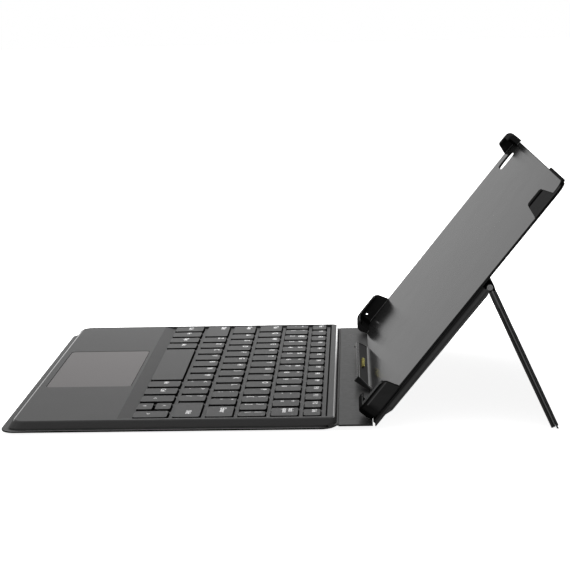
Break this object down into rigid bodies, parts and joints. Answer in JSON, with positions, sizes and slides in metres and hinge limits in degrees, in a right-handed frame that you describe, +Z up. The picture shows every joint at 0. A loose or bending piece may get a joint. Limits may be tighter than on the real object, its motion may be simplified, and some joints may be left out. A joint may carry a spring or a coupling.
{
  "type": "tablet keyboard case",
  "caption": "Tablet keyboard case standing open: keyboard with touchpad, creased flap, tilted tray with corner clips and contact rail, and a hinged leg behind it.",
  "frame": {"origin": "on the desk, under the middle of the bounding box of the opened case", "axes": "+X to the user's right, +Y away from the user, +Z up"},
  "size_m": [0.257, 0.3062, 0.1374],
  "materials": {
    "mat_rubber": "matt non-slip rubber",
    "cover_skin": "fine-grained synthetic leather",
    "crease_cloth": "thin woven backing",
    "back_skin": "fine-grained synthetic leather",
    "leg_skin": "fine-grained synthetic leather",
    "flap_skin": "smooth synthetic leather, slightly glossy",
    "pan_plastic": "moulded",
    "deck_plastic": "finely textured satin",
    "key_plastic": "finely textured matt",
    "pad_face": "smooth satin",
    "membrane_film": "printed film",
    "dome_rubber": "silicone",
    "circuit_board": "solder mask",
    "magnet_metal": "nickel plated",
    "screw_steel": "turned",
    "switch_plastic": "moulded",
    "stiffener_board": "thin fibre board",
    "leg_core": "fibre board",
    "back_core": "fibre board",
    "pad_foam": "closed-cell foam",
    "tray_black": "moulded, polished",
    "tray_gloss": "polished sheet",
    "clip_black": "moulded, polished",
    "rail_black": "moulded, polished",
    "contact_plastic": "moulded",
    "contact_gold": "gold plated",
    "hinge_steel": "rolled"
  },
  "bodies": {
    "keyboard": {"base_mat": "mat_rubber", "base_skin": "cover_skin", "keyboard_base": "pan_plastic", "deck": "deck_plastic", "switch_membrane": "membrane_film", "key_domes": "dome_rubber", "controller_board": "circuit_board", "membrane_ribbon": "membrane_film", "closing_magnets": "magnet_metal", "base_screws": "screw_steel", "pad_switch": "switch_plastic"},
    "touchpad_plate": {"touchpad": "pad_face", "touchpad_board": "circuit_board"},
    "flap": {"flap_inner_skin": "flap_skin", "flap_board": "stiffener_board", "flap_outer_skin": "cover_skin", "flap_foot": "mat_rubber", "front_crease_strip": "crease_cloth"},
    "tray": {"tray_plate": "tray_black", "tray_liner": "tray_gloss", "clip_bottom_left": "clip_black", "clip_bottom_right": "clip_black", "clip_top_left": "clip_black", "clip_top_right": "clip_black", "connector_rail": "rail_black", "contact_block": "contact_plastic", "lower_back_board": "back_core", "lower_back_pad": "pad_foam", "lower_back_skin": "back_skin", "hinge_leaf_fixed": "hinge_steel", "hinge_pin": "hinge_steel", "hinge_web": "crease_cloth", "rear_crease_strip": "crease_cloth"},
    "contacts": {"contact_pins": "contact_gold"},
    "leg": {"hinge_leaf_leg": "hinge_steel", "leg_board": "leg_core", "leg_inner_skin": "leg_skin", "leg_outer_skin": "leg_skin"},
    "escape_key_body": {"escape_key": "key_plastic"},
    "function_keys_body": {"function_keys": "key_plastic"},
    "number_keys_body": {"number_keys": "key_plastic"},
    "backspace_key_body": {"backspace_key": "key_plastic"},
    "tab_key_body": {"tab_key": "key_plastic"},
    "upper_letter_keys_body": {"upper_letter_keys": "key_plastic"},
    "backslash_key_body": {"backslash_key": "key_plastic"},
    "caps_lock_key_body": {"caps_lock_key": "key_plastic"},
    "home_letter_keys_body": {"home_letter_keys": "key_plastic"},
    "enter_key_body": {"enter_key": "key_plastic"},
    "left_shift_key_body": {"left_shift_key": "key_plastic"},
    "lower_letter_keys_body": {"lower_letter_keys": "key_plastic"},
    "right_shift_key_body": {"right_shift_key": "key_plastic"},
    "left_modifier_keys_body": {"left_modifier_keys": "key_plastic"},
    "space_bar_body": {"space_bar": "key_plastic"},
    "right_modifier_keys_body": {"right_modifier_keys": "key_plastic"},
    "left_arrow_key_body": {"left_arrow_key": "key_plastic"},
    "up_arrow_key_body": {"up_arrow_key": "key_plastic"},
    "down_arrow_key_body": {"down_arrow_key": "key_plastic"},
    "right_arrow_key_body": {"right_arrow_key": "key_plastic"}
  },
  "joints": [
    {"name": "escape_key_press", "type": "slide", "parent": "keyboard", "child": "escape_key_body", "axis": [0, 0, 1], "range_m": [-0.0012, 0], "stiffness_N_per_m": 400, "springref_m": 0.0006},
    {"name": "function_keys_press", "type": "slide", "parent": "keyboard", "child": "function_keys_body", "axis": [0, 0, 1], "range_m": [-0.0012, 0], "stiffness_N_per_m": 400, "springref_m": 0.0006},
    {"name": "number_keys_press", "type": "slide", "parent": "keyboard", "child": "number_keys_body", "axis": [0, 0, 1], "range_m": [-0.0012, 0], "stiffness_N_per_m": 400, "springref_m": 0.0006},
    {"name": "backspace_key_press", "type": "slide", "parent": "keyboard", "child": "backspace_key_body", "axis": [0, 0, 1], "range_m": [-0.0012, 0], "stiffness_N_per_m": 400, "springref_m": 0.0006},
    {"name": "tab_key_press", "type": "slide", "parent": "keyboard", "child": "tab_key_body", "axis": [0, 0, 1], "range_m": [-0.0012, 0], "stiffness_N_per_m": 400, "springref_m": 0.0006},
    {"name": "upper_letter_keys_press", "type": "slide", "parent": "keyboard", "child": "upper_letter_keys_body", "axis": [0, 0, 1], "range_m": [-0.0012, 0], "stiffness_N_per_m": 400, "springref_m": 0.0006},
    {"name": "backslash_key_press", "type": "slide", "parent": "keyboard", "child": "backslash_key_body", "axis": [0, 0, 1], "range_m": [-0.0012, 0], "stiffness_N_per_m": 400, "springref_m": 0.0006},
    {"name": "caps_lock_key_press", "type": "slide", "parent": "keyboard", "child": "caps_lock_key_body", "axis": [0, 0, 1], "range_m": [-0.0012, 0], "stiffness_N_per_m": 400, "springref_m": 0.0006},
    {"name": "home_letter_keys_press", "type": "slide", "parent": "keyboard", "child": "home_letter_keys_body", "axis": [0, 0, 1], "range_m": [-0.0012, 0], "stiffness_N_per_m": 400, "springref_m": 0.0006},
    {"name": "enter_key_press", "type": "slide", "parent": "keyboard", "child": "enter_key_body", "axis": [0, 0, 1], "range_m": [-0.0012, 0], "stiffness_N_per_m": 400, "springref_m": 0.0006},
    {"name": "left_shift_key_press", "type": "slide", "parent": "keyboard", "child": "left_shift_key_body", "axis": [0, 0, 1], "range_m": [-0.0012, 0], "stiffness_N_per_m": 400, "springref_m": 0.0006},
    {"name": "lower_letter_keys_press", "type": "slide", "parent": "keyboard", "child": "lower_letter_keys_body", "axis": [0, 0, 1], "range_m": [-0.0012, 0], "stiffness_N_per_m": 400, "springref_m": 0.0006},
    {"name": "right_shift_key_press", "type": "slide", "parent": "keyboard", "child": "right_shift_key_body", "axis": [0, 0, 1], "range_m": [-0.0012, 0], "stiffness_N_per_m": 400, "springref_m": 0.0006},
    {"name": "left_modifier_keys_press", "type": "slide", "parent": "keyboard", "child": "left_modifier_keys_body", "axis": [0, 0, 1], "range_m": [-0.0012, 0], "stiffness_N_per_m": 400, "springref_m": 0.0006},
    {"name": "space_bar_press", "type": "slide", "parent": "keyboard", "child": "space_bar_body", "axis": [0, 0, 1], "range_m": [-0.0012, 0], "stiffness_N_per_m": 400, "springref_m": 0.0006},
    {"name": "right_modifier_keys_press", "type": "slide", "parent": "keyboard", "child": "right_modifier_keys_body", "axis": [0, 0, 1], "range_m": [-0.0012, 0], "stiffness_N_per_m": 400, "springref_m": 0.0006},
    {"name": "left_arrow_key_press", "type": "slide", "parent": "keyboard", "child": "left_arrow_key_body", "axis": [0, 0, 1], "range_m": [-0.0012, 0], "stiffness_N_per_m": 400, "springref_m": 0.0006},
    {"name": "up_arrow_key_press", "type": "slide", "parent": "keyboard", "child": "up_arrow_key_body", "axis": [0, 0, 1], "range_m": [-0.0012, 0], "stiffness_N_per_m": 400, "springref_m": 0.0006},
    {"name": "down_arrow_key_press", "type": "slide", "parent": "keyboard", "child": "down_arrow_key_body", "axis": [0, 0, 1], "range_m": [-0.0012, 0], "stiffness_N_per_m": 400, "springref_m": 0.0006},
    {"name": "right_arrow_key_press", "type": "slide", "parent": "keyboard", "child": "right_arrow_key_body", "axis": [0, 0, 1], "range_m": [-0.0012, 0], "stiffness_N_per_m": 400, "springref_m": 0.0006},
    {"name": "touchpad_click", "type": "hinge", "parent": "keyboard", "child": "touchpad_plate", "pos_m": [0, -0.09253, 0.00655], "axis": [1, 0, 0], "range_deg": [0, 0.45], "stiffness_Nm_per_rad": 12, "springref_deg": -0.23},
    {"name": "flap_fold", "type": "hinge", "parent": "keyboard", "child": "flap", "pos_m": [0, 0.03063, 0.0038], "axis": [1, 0, 0], "range_deg": [0, 105], "deforming": ["front_crease_strip"]},
    {"name": "tray_fold", "type": "hinge", "parent": "flap", "child": "tray", "pos_m": [0, 0.05043, 0.0038], "axis": [1, 0, 0], "range_deg": [-51, 24], "deforming": ["rear_crease_strip"]},
    {"name": "contacts_press", "type": "slide", "parent": "tray", "child": "contacts", "axis": [0, -0.6293, -0.7771], "range_m": [0, 0.0008], "stiffness_N_per_m": 400, "springref_m": -0.0004},
    {"name": "leg_fold", "type": "hinge", "parent": "tray", "child": "leg", "pos_m": [0, 0.11302, 0.0778], "axis": [1, 0, 0], "range_deg": [0, 116.6], "deforming": ["hinge_web"]}
  ]
}
